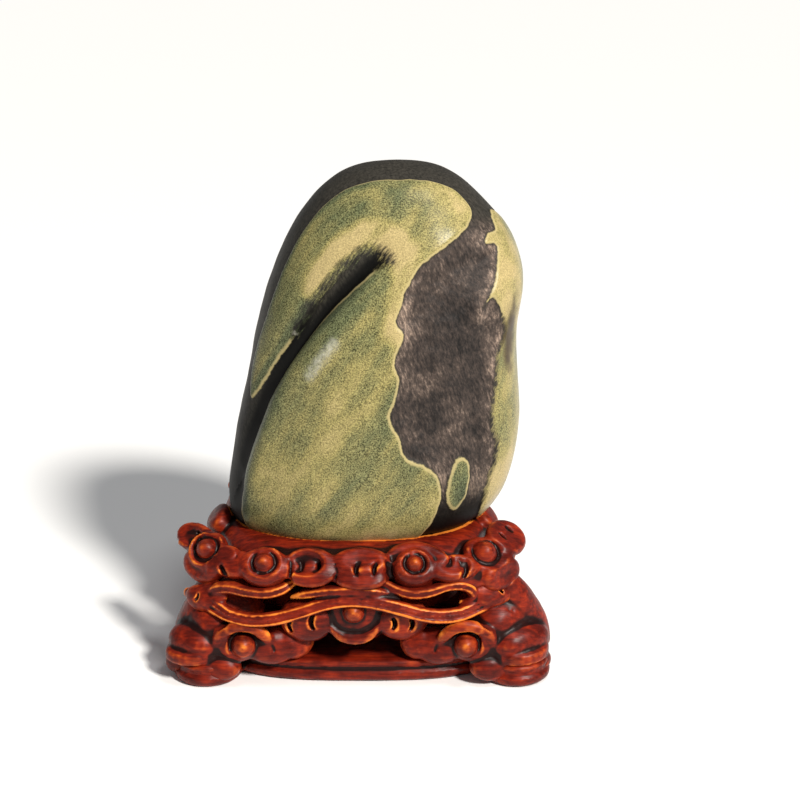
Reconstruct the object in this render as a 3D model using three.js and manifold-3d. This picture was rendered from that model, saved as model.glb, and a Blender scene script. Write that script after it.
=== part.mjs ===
// A river-worn scholar's rock on its carved hardwood stand. Millimetres, +Z up, front towards -Y.
// The origin is on the surface, under the middle of the base.
import * as THREE from "three";
import { mergeVertices } from "three/addons/utils/BufferGeometryUtils.js";
import Module from "manifold-3d";

const wasm = await Module();
wasm.setup();

// ---- Driving dimensions ----

const GAP = 0.35; // between two pieces that touch
const DEGREE = Math.PI / 180;

// The back half is narrower than the front half, about this line.
const MIDDLE = 8;
const BACK_NARROWING = 0.78;

// Levels, from the surface up.
const BASE_TOP = 16;
const WAIST_BOTTOM = 38;
const SEAT_LEVEL = 86;
const RIM_LEVEL = 95;

// The stone's cross-sections from its foot to its crown: [height above the seat, left, right, front, back].
const STONE_SECTIONS = [
  [0, 5, 5, -3, -3],
  [1.5, -66, 71, -52, 46],
  [9, -84, 89, -68, 60],
  [25, -87, 104, -75, 68],
  [45, -84.5, 112, -78, 72],
  [75, -79, 116, -78, 74],
  [110, -71, 114.5, -76, 74],
  [145, -64, 113.5, -72, 72],
  [180, -53.5, 117, -64, 68],
  [210, -40, 106, -52, 60],
  [232, -23.5, 87, -38, 48],
  [248, 1, 62, -18, 30],
  [255, 31, 31, 5, 5],
];
const STONE_SQUARENESS = 2.4; // 2 is an ellipse, more is nearer a rectangle
const STONE_AROUND = 32;
const STONE_UP = 27;

// The collar block's cross-sections, up its waist and out to its rim: [height, left, right, front, back].
const COLLAR_SECTIONS = [
  [WAIST_BOTTOM, 4, 4, 0, 0],
  [WAIST_BOTTOM, -58, 66, -58, 58],
  [42, -72, 80, -73, 73],
  [54, -74, 82, -76, 76],
  [63, -78, 84, -78, 78],
  [70, -89, 93, -88, 88],
  [77, -92, 96, -97, 97],
  [86, -92.5, 96.5, -95, 95],
  [92, -92, 96, -87, 87],
  [RIM_LEVEL, -89, 93.5, -80, 80],
  [RIM_LEVEL + 0.5, 2, 2, 0, 0],
];
const COLLAR_SQUARENESS = 3;

// Cloud lobes round the collar's edge: [x, y, z, half-width, half-depth, half-thickness, heading].
// The heading is the way the lobe points, in degrees from the front. Each has a twin at the back.
const LOBE_DROP = 27; // degrees that a lobe falls towards its lip
const COLLAR_LOBES = [
  [-102, -47, 89, 18, 16, 7, -65],
  [-98, -74, 79, 16, 14, 7, -45],
  [-79, -79, 85, 12, 13, 8, -25],
  [-25, -86, 86, 18, 16, 6, 0],
  [9.5, -90, 85, 19, 20, 6, 0],
  [42, -80, 90, 22, 14, 6, 0],
  [70, -86, 84, 15, 14, 6, 15],
  [99, -74, 77, 15, 14, 7, 45],
  [104, -52, 89, 17, 18, 6, 70],
];
const END_LOBES = [[-88, -12, 90, 16, 15, 7, -85], [87, -13, 90, 14, 14, 7, 85]]; // these have no twins

// Pearls in shallow dishes on the collar: [x, y, z, heading].
const COLLAR_PEARLS = [
  [-96, -65, 88, -50],
  [-57, -89, 86, -10],
  [42, -89, 86, 5],
  [90, -70, 87, 45],
];
const PEARL_RADIUS = 7.5;
const DISH_RADIUS = 13.5;
const DISH_THICKNESS = 6;
const PEARL_RISE = 5; // of a pearl's middle over its dish's middle

// The ribbon: the line of its long lower strand, and of the two short strands over its openings.
const LOWER_STRAND = [
  [-115, -68, 53], [-99, -80, 56], [-84, -92, 52], [-59, -100, 50.5], [-33, -104, 58], [1, -104, 67],
  [34, -104, 60], [61, -102, 53], [85, -92, 53.5], [99, -80, 57], [116, -66, 55],
];
const LEFT_STRAND = [[-98, -80, 58], [-84, -86, 69], [-58, -92, 69], [-36, -96, 68], [-14, -101, 65]];
const RIGHT_STRAND = [[18, -101, 65], [36, -96, 68], [60, -92, 69], [84, -86, 69], [98, -80, 59]];
const STRAND_HEIGHT = 10;
const STRAND_DEPTH = 12;

// Hanging pendants: two lobes and a pearl, given for the front one, [x, y, z, half-width, depth, height].
const PENDANT_LOBES = [[-26, -84, 47, 17, 15, 15], [33, -84, 48, 17, 15, 14], [2, -84, 50, 18, 17, 20]];
const PENDANT_PEARL = [2, -98, 55];
const SIDE_PENDANT_REACH = 102; // from the middle line to the pearl of a side pendant

// A leg, given for the front right: [x, y, z, half-width, half-depth, half-height].
const LEG_MASSES = [
  [89, -67, 46, 23, 19, 21],
  [75, -90, 34, 17, 11, 15],
  [104, -50, 34, 12, 16, 15],
  [107, -80, 22, 25, 22, 15],
];
const LEG_PEARLS = [[75, -101, 34], [111, -48, 34]];

const LEGS = [["front_left", -1, 1], ["front_right", 1, 1], ["back_left", -1, -1], ["back_right", 1, -1]];

// The plain base board that the legs stand on, with a round pad under each foot.
const BASE_HALF_LENGTH = 114;
const BASE_HALF_WIDTH = 94;
const BASE_SQUARENESS = 3;
const BASE_BEVEL = 3;
const BASE_POINTS = 28;
const PAD_RADIUS = 24;

// ---- Solids ----

function solidOf(geometry) {
  geometry.deleteAttribute("normal");
  geometry.deleteAttribute("uv");
  const merged = mergeVertices(geometry, 1e-4);
  const vertProperties = new Float32Array(merged.getAttribute("position").array);
  const triVerts = new Uint32Array(merged.getIndex().array);
  return new wasm.Manifold(new wasm.Mesh({ numProp: 3, vertProperties, triVerts }));
}

function geometryOf(solid) {
  const mesh = solid.getMesh();
  const geometry = new THREE.BufferGeometry();
  geometry.setAttribute("position", new THREE.BufferAttribute(mesh.vertProperties, 3));
  geometry.setIndex(new THREE.BufferAttribute(mesh.triVerts, 1));
  geometry.computeVertexNormals();
  return geometry;
}

const joined = (solids) => solids.reduce((sum, solid) => sum.add(solid));
const cutBy = (solid, cutters) => cutters.reduce((rest, cutter) => rest.subtract(cutter), solid);

// The value at t (0 to 1) on a smooth curve through evenly spaced values.
function smoothThrough(values, t) {
  const place = Math.min(Math.max(t, 0), 1) * (values.length - 1);
  const i = Math.min(Math.floor(place), values.length - 2);
  const value = (k) => values[Math.min(Math.max(k, 0), values.length - 1)];
  const [a, b, c, d] = [value(i - 1), value(i), value(i + 1), value(i + 2)];
  const w = place - i;
  const square = 2 * a - 5 * b + 4 * c - d;
  const cube = 3 * b - a - 3 * c + d;
  return 0.5 * (2 * b + (c - a) * w + square * w ** 2 + cube * w ** 3);
}

// A cosine or sine pushed outwards, which makes an ellipse squarer.
const pushed = (wave, squareness) => Math.sign(wave) * Math.abs(wave) ** (2 / squareness);

// A closed body through level sections, made by moving the points of a sphere.
function loft(sections, squareness, around, up, base = 0, grow = 0) {
  const columns = [0, 1, 2, 3, 4].map((k) => sections.map((section) => section[k]));
  const geometry = new THREE.SphereGeometry(1, around, up).rotateX(90 * DEGREE);
  const points = geometry.getAttribute("position");
  for (let i = 0; i < points.count; i++) {
    const t = 1 - Math.acos(Math.min(Math.max(points.getZ(i), -1), 1)) / Math.PI;
    const angle = Math.atan2(points.getY(i), points.getX(i));
    const [height, left, right, front, back] = columns.map((column) => smoothThrough(column, t));
    const x = (left + right) / 2 + ((right - left) / 2) * pushed(Math.cos(angle), squareness);
    const y = (front + back) / 2 + ((back - front) / 2) * pushed(Math.sin(angle), squareness);
    points.setXYZ(i, x, y, base + height);
  }
  return grow ? grown(geometry, grow) : geometry;
}

// The same closed surface moved outwards along its smooth normals.
function grown(geometry, distance) {
  geometry.deleteAttribute("normal");
  geometry.deleteAttribute("uv");
  const surface = mergeVertices(geometry, 1e-4);
  surface.computeVertexNormals();
  const points = surface.getAttribute("position");
  const normals = surface.getAttribute("normal");
  for (let i = 0; i < points.count; i++) {
    points.setXYZ(
      i,
      points.getX(i) + normals.getX(i) * distance,
      points.getY(i) + normals.getY(i) * distance,
      points.getZ(i) + normals.getZ(i) * distance,
    );
  }
  return surface;
}

// A place given for the front, or its narrower twin at the back (side -1).
const onSide = ([x, y, z], side) => (side > 0 ? [x, y, z] : [MIDDLE + (x - MIDDLE) * BACK_NARROWING, -y, z]);

// An ellipsoid whose front is turned by a heading and dropped, both in degrees.
function bump([x, y, z], [width, depth, height], heading = 0, drop = 0, around = 8, up = 5) {
  const geometry = new THREE.SphereGeometry(1, around, up).rotateX(90 * DEGREE);
  geometry.scale(width, depth, height);
  geometry.rotateX(drop * DEGREE);
  geometry.rotateZ(heading * DEGREE);
  return solidOf(geometry.translate(x, y, z));
}

// A shallow dish with a pearl in it.
function pearlInDish([x, y, z], heading, grow = 0) {
  const out = new THREE.Vector3(0, -Math.sin(LOBE_DROP * DEGREE), Math.cos(LOBE_DROP * DEGREE));
  out.applyAxisAngle(new THREE.Vector3(0, 0, 1), heading * DEGREE).multiplyScalar(PEARL_RISE);
  const size = [DISH_RADIUS + grow, DISH_RADIUS + grow, DISH_THICKNESS + grow];
  const dish = bump([x, y, z], size, heading, LOBE_DROP, 8, 3);
  const pearl = PEARL_RADIUS + grow;
  return dish.add(bump([x + out.x, y + out.y, z + out.z], [pearl, pearl, pearl], 0, 0, 6, 4));
}

// A tapering strand along a line of points: a sphere drawn out along the curve.
function strand(line, height, depth, steps, grow = 0) {
  const curve = new THREE.CatmullRomCurve3(line.map((point) => new THREE.Vector3(...point)));
  const geometry = new THREE.SphereGeometry(1, 6, steps).rotateX(90 * DEGREE);
  const points = geometry.getAttribute("position");
  const up = new THREE.Vector3(0, 0, 1);
  for (let i = 0; i < points.count; i++) {
    const z = Math.min(Math.max(points.getZ(i), -1), 1);
    const angle = Math.atan2(points.getY(i), points.getX(i));
    const t = 1 - Math.acos(z) / Math.PI;
    const along = curve.getTangent(t);
    const sideways = new THREE.Vector3().crossVectors(up, along).normalize();
    const across = new THREE.Vector3().crossVectors(along, sideways);
    const fullness = Math.sqrt(1 - z * z) ** 0.5;
    const place = curve.getPoint(t);
    place.addScaledVector(sideways, (depth / 2 + grow) * fullness * Math.cos(angle));
    place.addScaledVector(across, (height / 2 + grow) * fullness * Math.sin(angle));
    points.setXYZ(i, place.x, place.y, place.z);
  }
  return solidOf(geometry);
}

// ---- Sub-parts ----

function stoneSurface(grow) {
  return loft(STONE_SECTIONS, STONE_SQUARENESS, STONE_AROUND, STONE_UP, SEAT_LEVEL, grow);
}

// The collar block: a waist, and over it a thick oval with cloud lobes and pearls round its edge.
function collar(grow = 0) {
  const body = solidOf(loft(COLLAR_SECTIONS, COLLAR_SQUARENESS, 24, 12, 0, grow));
  const clouds = END_LOBES.map(([x, y, z, width, depth, height, heading]) =>
    bump([x, y, z], [width + grow, depth + grow, height + grow], heading, LOBE_DROP));
  for (const side of [1, -1]) {
    for (const [x, y, z, width, depth, height, heading] of COLLAR_LOBES) {
      const size = [width + grow, depth + grow, height + grow];
      clouds.push(bump(onSide([x, y, z], side), size, side > 0 ? heading : 180 - heading, LOBE_DROP));
    }
    for (const [x, y, z, heading] of COLLAR_PEARLS) {
      clouds.push(pearlInDish(onSide([x, y, z], side), side > 0 ? heading : 180 - heading, grow));
    }
  }
  return joined([body, ...clouds]);
}

// A ribbon apron under the collar's front (side 1) or back (side -1), with an opening at each end.
function ribbon(side, grow = 0) {
  const placed = (line) => line.map((point) => onSide(point, side));
  return joined([
    strand(placed(LOWER_STRAND), STRAND_HEIGHT, STRAND_DEPTH, 22, grow),
    strand(placed(LEFT_STRAND), STRAND_HEIGHT - 1, STRAND_DEPTH, 8, grow),
    strand(placed(RIGHT_STRAND), STRAND_HEIGHT - 1, STRAND_DEPTH, 8, grow),
  ]);
}

// A pendant of three lobes and a pearl, turned to its side and moved outwards by a shift.
function pendant(turn, shift, grow = 0) {
  const axis = new THREE.Vector3(0, 0, 1);
  const middle = new THREE.Vector3(MIDDLE, 0, 0);
  const placed = ([x, y, z]) =>
    new THREE.Vector3(x - MIDDLE, y - shift, z).applyAxisAngle(axis, turn * DEGREE).add(middle);
  const lobes = PENDANT_LOBES.map(([x, y, z, width, depth, height]) =>
    bump(placed([x, y, z]).toArray(), [width + grow, depth + grow, height + grow], turn));
  const pearl = PEARL_RADIUS + grow;
  return joined([...lobes, bump(placed(PENDANT_PEARL).toArray(), [pearl, pearl, pearl], turn, 0, 6, 4)]);
}

// A flared leg at a corner, from the waist down to the base.
function leg(sideX, sideY) {
  const placed = ([x, y, z]) => onSide([MIDDLE + x * sideX, y, z], sideY);
  const masses = LEG_MASSES.map(([x, y, z, width, depth, height]) =>
    bump(placed([x, y, z]), [width, depth, height]));
  const pearlSize = [PEARL_RADIUS, PEARL_RADIUS, PEARL_RADIUS];
  const pearls = LEG_PEARLS.map((point) => bump(placed(point), pearlSize, 0, 0, 6, 4));
  return joined([...masses, ...pearls]);
}

function base() {
  const outline = new THREE.Shape();
  const points = [];
  for (let i = 0; i < BASE_POINTS; i++) {
    const angle = (i / BASE_POINTS) * 2 * Math.PI;
    points.push(new THREE.Vector2(
      (BASE_HALF_LENGTH - BASE_BEVEL) * pushed(Math.cos(angle), BASE_SQUARENESS),
      (BASE_HALF_WIDTH - BASE_BEVEL) * pushed(Math.sin(angle), BASE_SQUARENESS),
    ));
  }
  outline.setFromPoints(points);
  const board = new THREE.ExtrudeGeometry(outline, {
    depth: BASE_TOP - 2 * BASE_BEVEL,
    bevelThickness: BASE_BEVEL,
    bevelSize: BASE_BEVEL,
    bevelSegments: 1,
  });
  const pads = LEGS.map(([, sideX, sideY]) => {
    const [footX, footY] = LEG_MASSES.at(-1);
    const [x, y] = onSide([MIDDLE + footX * sideX, footY, 0], sideY);
    const pad = new THREE.CylinderGeometry(PAD_RADIUS - BASE_BEVEL, PAD_RADIUS, BASE_TOP, 16);
    return solidOf(pad.rotateX(90 * DEGREE).translate(x, y, BASE_TOP / 2));
  });
  return joined([solidOf(board.translate(MIDDLE, 0, BASE_BEVEL)), ...pads]);
}

// Everything below a level, as a cutter.
function below(level) {
  return solidOf(new THREE.BoxGeometry(400, 400, 200).translate(0, 0, level - 100));
}

// ---- Assembly ----

const STONE = new THREE.MeshStandardMaterial({ color: 0x8f8660, roughness: 0.5, metalness: 0 });
const WOOD = new THREE.MeshStandardMaterial({ color: 0x8a2c1a, roughness: 0.35, metalness: 0 });

const object = new THREE.Group();
object.position.x = -MIDDLE; // the drawing's middle line comes to the origin
const stand = new THREE.Group();
object.add(stand);

function place(group, name, geometry, material) {
  const mesh = new THREE.Mesh(geometry, material);
  mesh.name = name;
  group.add(mesh);
}

place(object, "stone", stoneSurface(0), STONE);

const collarCut = collar(GAP);
const ribbonCuts = [ribbon(1, GAP), ribbon(-1, GAP)];
const sideShift = SIDE_PENDANT_REACH + PENDANT_PEARL[1];
const PENDANTS = [["front", 0, 0], ["right", 90, sideShift], ["back", 180, 0], ["left", 270, sideShift]];
const pendantCuts = PENDANTS.map(([, turn, shift]) => pendant(turn, shift, GAP));
const floorCut = below(BASE_TOP + GAP);

place(stand, "collar", geometryOf(cutBy(collar(), [solidOf(stoneSurface(GAP))])), WOOD);
place(stand, "ribbon_front", geometryOf(cutBy(ribbon(1), [collarCut])), WOOD);
place(stand, "ribbon_back", geometryOf(cutBy(ribbon(-1), [collarCut])), WOOD);
for (const [name, turn, shift] of PENDANTS) {
  place(stand, `pendant_${name}`, geometryOf(cutBy(pendant(turn, shift), [collarCut, ...ribbonCuts])), WOOD);
}
for (const [name, sideX, sideY] of LEGS) {
  const cutters = [collarCut, ...ribbonCuts, ...pendantCuts, floorCut];
  place(stand, `leg_${name}`, geometryOf(cutBy(leg(sideX, sideY), cutters)), WOOD);
}
place(stand, "base", geometryOf(base()), WOOD);

export default object;
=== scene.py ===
import math

import bmesh
import bpy
import numpy as np
from mathutils import Matrix, Vector, noise
from mathutils.bvhtree import BVHTree


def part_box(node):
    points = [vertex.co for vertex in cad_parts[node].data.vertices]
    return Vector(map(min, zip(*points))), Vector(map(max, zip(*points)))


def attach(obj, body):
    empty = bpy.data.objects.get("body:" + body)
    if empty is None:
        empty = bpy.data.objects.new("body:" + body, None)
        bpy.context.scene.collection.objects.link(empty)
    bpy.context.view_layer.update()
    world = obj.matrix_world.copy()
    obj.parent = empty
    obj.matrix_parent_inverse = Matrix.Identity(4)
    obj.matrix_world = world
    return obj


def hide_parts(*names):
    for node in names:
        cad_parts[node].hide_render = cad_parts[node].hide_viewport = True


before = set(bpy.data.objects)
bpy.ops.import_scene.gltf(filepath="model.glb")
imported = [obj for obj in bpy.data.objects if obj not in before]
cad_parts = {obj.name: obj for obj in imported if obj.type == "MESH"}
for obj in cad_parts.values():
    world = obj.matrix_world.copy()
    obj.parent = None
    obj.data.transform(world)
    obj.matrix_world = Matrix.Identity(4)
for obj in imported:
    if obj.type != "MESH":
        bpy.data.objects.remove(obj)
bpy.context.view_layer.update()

# ---- The view ----
# A pale floor, one broad light like a low sun from the front right, weak light from all round, and
# a camera that looks down on the front of the stone from a little above it.

VIEW_TARGET = Vector((0.0263, 0, 0.172))
VIEW_DISTANCE = 1.4
VIEW_ELEVATION = math.radians(20)


def linear(hex_colour):
    """An sRGB colour such as "a84026" as the linear values that the shaders take."""
    values = [int(hex_colour[i:i + 2], 16) / 255 for i in (0, 2, 4)]
    return [v / 12.92 if v <= 0.04045 else ((v + 0.055) / 1.055) ** 2.4 for v in values] + [1]


def new_material(name):
    """A material with its nodes and the shader at their end."""
    material = bpy.data.materials.new(name)
    material.use_nodes = True
    return material, material.node_tree, material.node_tree.nodes["Principled BSDF"]


def aimed(thing, place, target):
    """Links a light or camera that stands at a place and looks at the target."""
    thing.location = place
    thing.rotation_euler = (Vector(target) - Vector(place)).to_track_quat("-Z", "Y").to_euler()
    bpy.context.scene.collection.objects.link(thing)
    return thing


camera = bpy.data.objects.new("camera", bpy.data.cameras.new("camera"))
camera.data.lens = 90
camera.data.sensor_width = 36
toward_viewer = Vector((0, -math.cos(VIEW_ELEVATION), math.sin(VIEW_ELEVATION)))
bpy.context.scene.camera = aimed(camera, VIEW_TARGET + toward_viewer * VIEW_DISTANCE, VIEW_TARGET)
bpy.context.scene.view_settings.view_transform = "Standard"

sun = bpy.data.objects.new("sun", bpy.data.lights.new("sun", "SUN"))
sun.data.energy = 4.3
sun.data.angle = math.radians(9)
sun.data.color = linear("fffbf5")[:3]
aimed(sun, (0.85, -1.0, 1.15), (0, 0, 0))

window = bpy.data.objects.new("window", bpy.data.lights.new("window", "AREA"))
window.data.size = 0.3
window.data.energy = 5
aimed(window, (0.35, -0.3, 1.5), (0, 0, 0.2))

world = bpy.data.worlds.new("studio")
world.use_nodes = True
world.node_tree.nodes["Background"].inputs["Color"].default_value = linear("f4f6fa")
world.node_tree.nodes["Background"].inputs["Strength"].default_value = 0.22
bpy.context.scene.world = world

shape = bmesh.new()
bmesh.ops.create_grid(shape, x_segments=1, y_segments=1, size=12)
floor = bpy.data.objects.new("floor", bpy.data.meshes.new("floor"))
shape.to_mesh(floor.data)
shape.free()
bpy.context.scene.collection.objects.link(floor)
paper, _, surface = new_material("matt_white_paper")
surface.inputs["Base Color"].default_value = linear("f8f8f7")
surface.inputs["Roughness"].default_value = 0.9
floor.data.materials.append(paper)

# ---- The base ----
# The board that the feet stand on: one flat oval plank of dark hardwood with a moulded edge and a thicker
# pad below each foot, stained and lacquered red brown over black. Nothing is carved on it.

MIDDLE = 8  # of the stand, to the right of the stone's own middle, in millimetres
BASE_HALF = (114, 94)
BASE_SQUARENESS = 3
# The moulded edge of the board and of the pads: height, and how far in from the widest outline.
BASE_EDGE = [(0, 3), (2.5, 0.4), (6.5, 0), (8.5, 2.2), (11, 2.8), (12.5, 1), (14.5, 1.6), (16, 4)]
BASE_STEP = 1.3  # across one face of the finished mesh, in millimetres, as every step below
PAD_RADIUS = 24
PAD_PLACE = (106, -79)  # of the pad under the right front foot
BACK_NARROWING = 0.78  # of the stand's back half, against the front half's width


def column(shape, around, stations):
    """A closed column of radius 1 with a ring of points at each whole height, to be given its shape after."""
    points = list(bmesh.ops.create_circle(shape, cap_ends=True, segments=around, radius=1)["verts"])
    top = points[0].link_faces[0]
    for station in range(1, stations):
        grown = bmesh.ops.extrude_face_region(shape, geom=[top])["geom"]
        if station > 1:
            bmesh.ops.delete(shape, geom=[top], context="FACES_ONLY")
        top = next(part for part in grown if isinstance(part, bmesh.types.BMFace))
        bmesh.ops.translate(shape, vec=(0, 0, 1), verts=top.verts)
        points += top.verts
    return points


def stacked(shape, levels, squareness, around):
    """A closed body through level outlines: [height, left, right, front, back], each a rounded oblong."""
    for vert in column(shape, around, len(levels)):
        height, left, right, ahead, behind = levels[round(vert.co.z)]
        across, along = vert.co.x, vert.co.y
        reach = (abs(across) ** squareness + abs(along) ** squareness) ** (-1 / squareness)
        middle = ((left + right) / 2, (ahead + behind) / 2)
        half = ((right - left) / 2, (behind - ahead) / 2)
        vert.co = (middle[0] + across * reach * half[0], middle[1] + along * reach * half[1], height)


def moulded(shape, middle, half, squareness, around):
    """A flat body with the moulded edge all round it."""
    (x, y), (wide, deep) = middle, half
    stacked(shape, [(height, x - wide + inset, x + wide - inset, y - deep + inset, y + deep - inset)
                    for height, inset in BASE_EDGE], squareness, around)


def mesh_of(shape, name):
    """The finished mesh of a shape that was drawn in millimetres."""
    bmesh.ops.recalc_face_normals(shape, faces=shape.faces)
    bmesh.ops.scale(shape, vec=(0.001, 0.001, 0.001), verts=shape.verts)
    mesh = bpy.data.meshes.new(name)
    shape.to_mesh(mesh)
    shape.free()
    return mesh


def new_piece(name, mesh):
    piece = bpy.data.objects.new(name, mesh)
    bpy.context.scene.collection.objects.link(piece)
    return piece


def applied(piece):
    """The mesh that a piece's modifiers make, put in the place of its own."""
    made = bpy.data.meshes.new_from_object(piece.evaluated_get(bpy.context.evaluated_depsgraph_get()))
    piece.modifiers.clear()
    piece.data = made
    return made


def fused(piece, step):
    """The same body as one skin, whose faces are about a step across."""
    remesh = piece.modifiers.new("one_skin", "REMESH")
    remesh.mode = "VOXEL"
    remesh.voxel_size = step / 1000
    return applied(piece)


def points_of(mesh):
    flat = np.empty(len(mesh.vertices) * 3, np.float32)
    mesh.vertices.foreach_get("co", flat)
    return flat.reshape(-1, 3).astype(float) * 1000


def move_points(mesh, points):
    mesh.vertices.foreach_set("co", (points / 1000).astype(np.float32).ravel())
    mesh.update()


def normals_of(mesh):
    flat = np.empty(len(mesh.vertices) * 3, np.float32)
    mesh.vertex_normals.foreach_get("vector", flat)
    return flat.reshape(-1, 3).astype(float)


def keep_attribute(mesh, name, values):
    mesh.attributes.new(name, "FLOAT", "POINT").data.foreach_set("value", np.asarray(values, np.float32))


def ramp(values, start, end):
    """Smoothly 0 to 1 as the values go from start to end, whichever of the two is higher."""
    t = np.clip((np.asarray(values, float) - start) / (end - start), 0, 1)
    return t * t * (3 - 2 * t)


def waves(points, size, seed=0.0):
    """Smooth noise from -1 to 1 whose swells are about size millimetres apart."""
    return np.array([noise.noise(p) for p in points / size + seed])


def softened(mesh, points, rounds, stops=()):
    """The points moved to the middles of their neighbours for some rounds, or a list of them at the stops."""
    ends = np.empty(len(mesh.edges) * 2, np.int32)
    mesh.edges.foreach_get("vertices", ends)
    first, second = ends[::2], ends[1::2]
    count = np.maximum(np.bincount(ends, minlength=len(points)), 1)
    kept = []
    for number in range(1, rounds + 1):
        sums = [np.bincount(first, axis[second], len(axis)) + np.bincount(second, axis[first], len(axis))
                for axis in points.T]
        points = np.stack(sums, 1) / count[:, None]
        if number in stops:
            kept.append(points)
    return kept if stops else points


RIDGE_ROUNDS, HOLLOW_ROUNDS = 7, 50  # of softening, which show up sharp edges and wide hollows
SHARP_EDGE = 0.56  # how far a sharp edge sinks, in millimetres where faces are a square millimetre
DEEP_PERCENTILE, LEAST_DEEP = 91, 0.3  # where hollows turn black, and at least how many millimetres deep
STONE_WEAR, WEAR_REACH = 1.3, 0.0022  # how much the stone adds to the wear, and within how many metres


def finished_wood(piece, smoothing=1, tool_marks=0.25, worn_near=None):
    """Rubs down a carving, leaves the chisel's marks, and notes where it is worn and where it is deep."""
    mesh = piece.data
    points = softened(mesh, points_of(mesh), smoothing)
    marks = tool_marks * waves(points, 9) + 0.5 * tool_marks * waves(points, 4, 5.0)
    points += normals_of(mesh) * marks[:, None]
    points[:, 2] = np.maximum(points[:, 2], 0)
    move_points(mesh, points)
    normals = normals_of(mesh)
    near, far = softened(mesh, points, HOLLOW_ROUNDS, (RIDGE_ROUNDS, HOLLOW_ROUNDS))
    face_area = sum(face.area for face in mesh.polygons) / len(mesh.polygons) * 1e6
    ridge = ((points - near) * normals).sum(1) / (SHARP_EDGE * face_area)
    if worn_near:
        touched = [worn_near.find_nearest(Vector(p) / 1000, WEAR_REACH)[0] is not None for p in points]
        ridge += STONE_WEAR * np.array(touched)
    # How deep each point lies in a hollow; the material paints hollows black, as thick lacquer and as painted
    # shade.
    hollow = ((far - points) * normals).sum(1)
    keep_attribute(mesh, "ridge", ridge)
    keep_attribute(mesh, "hollow", hollow / max(np.percentile(hollow, DEEP_PERCENTILE), LEAST_DEEP))
    mesh.shade_smooth()
    mesh.materials.clear()
    mesh.materials.append(LACQUERED_WOOD)


def add(tree, kind, settings={}, links={}, output=0):
    """Adds a shader node for one of its outputs, with its properties, its inputs and the links into it."""
    made = tree.nodes.new("ShaderNode" + kind)
    for key, value in settings.items():
        if key == "stops":
            elements = made.color_ramp.elements
            while len(elements) < len(value):
                elements.new(0.5)
            for element, (position, colour) in zip(elements, value):
                element.position = position
                element.color = linear(colour) if isinstance(colour, str) else (colour, colour, colour, 1)
        elif isinstance(key, int) or key in made.inputs:
            made.inputs[key].default_value = value
        else:
            setattr(made, key, value)
    for key, source in links.items():
        tree.links.new(source, made.inputs[key])
    return made.outputs[output]


def lacquered_wood():
    """Carved rosewood under red lacquer: ridges rubbed to orange, hollows black with thick lacquer and
    painted shade, and a satin gloss.
    """
    material, tree, surface = new_material("lacquered_carved_rosewood")
    place = add(tree, "TexCoord", output="Object")
    ridge = add(tree, "Attribute", {"attribute_name": "ridge"}, output="Fac")
    hollow = add(tree, "Attribute", {"attribute_name": "hollow"}, output="Fac")

    # Pores about 2 mm apart and 20 mm long run along the plank, from side to side, under clouds of 20 mm.
    grain_way = add(tree, "Mapping", {"Scale": (0.12, 1, 1)}, {"Vector": place})
    grain = add(tree, "TexNoise", {"Scale": 420, "Detail": 3, "Roughness": 0.6}, {"Vector": grain_way})
    clouds = add(tree, "TexNoise", {"Scale": 55, "Detail": 3, "Roughness": 0.6}, {"Vector": place})
    clouded = add(tree, "Math", {"operation": "MULTIPLY", 1: 0.55}, {0: clouds})
    figure = add(tree, "Math", {"operation": "MULTIPLY_ADD", 1: 0.45}, {0: grain, 2: clouded})
    body = add(tree, "ValToRGB", {"stops": [
        (0.32, "380b06"), (0.46, "59140a"), (0.58, "7e200c"), (0.72, "a83914"),
    ]}, {"Fac": figure})

    # Rubbing has gone through the lacquer on the ridges. The hollows go black: partly lacquer left thick
    # there, partly painted shade.
    shaken = add(tree, "Math", {"operation": "MULTIPLY_ADD", 1: 1.1, 2: -0.55}, {0: figure})
    rubbing = add(tree, "Math", {"operation": "ADD"}, {0: ridge, 1: shaken})
    worn = add(tree, "MapRange", {"From Min": 0.5, "From Max": 1.35}, {"Value": rubbing})
    edge = add(tree, "ValToRGB", {"stops": [
        (0.0, "93351a"), (0.45, "b94b1b"), (1.0, "e8832f"),
    ]}, {"Fac": worn})
    rubbed = add(tree, "Mix", {"data_type": "RGBA"}, {0: worn, 6: body, 7: edge}, output=2)
    # Painted shade, with the thick lacquer: the deeper the hollow, the nearer to black.
    sunk = add(tree, "Math", {"operation": "MULTIPLY_ADD", 1: 0.4}, {0: shaken, 2: hollow})
    deep = add(tree, "MapRange", {"From Min": -0.05, "From Max": 0.6}, {"Value": sunk})
    lacquer_and_painted_shade = add(tree, "Math", {"operation": "MULTIPLY", 1: 0.95}, {0: deep})
    stained = add(tree, "Mix", {"data_type": "RGBA", 7: linear("120605")}, {0: lacquer_and_painted_shade, 6: rubbed}, output=2)
    tree.links.new(stained, surface.inputs["Base Color"])

    uneven = add(tree, "Mix", {"data_type": "FLOAT", 2: 0.28, 3: 0.5}, {0: clouds})
    tree.links.new(uneven, surface.inputs["Roughness"])
    surface.inputs["Specular IOR Level"].default_value = 0.17
    pores = add(tree, "Bump", {"Distance": 0.0004, "Strength": 0.35}, {"Height": grain})
    tree.links.new(pores, surface.inputs["Normal"])
    return material


LACQUERED_WOOD = lacquered_wood()


def handed_over(piece, node):
    """Hangs a finished piece under the root body, and hides the CAD node that it stands for."""
    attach(piece, "root")
    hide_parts(node)


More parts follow.
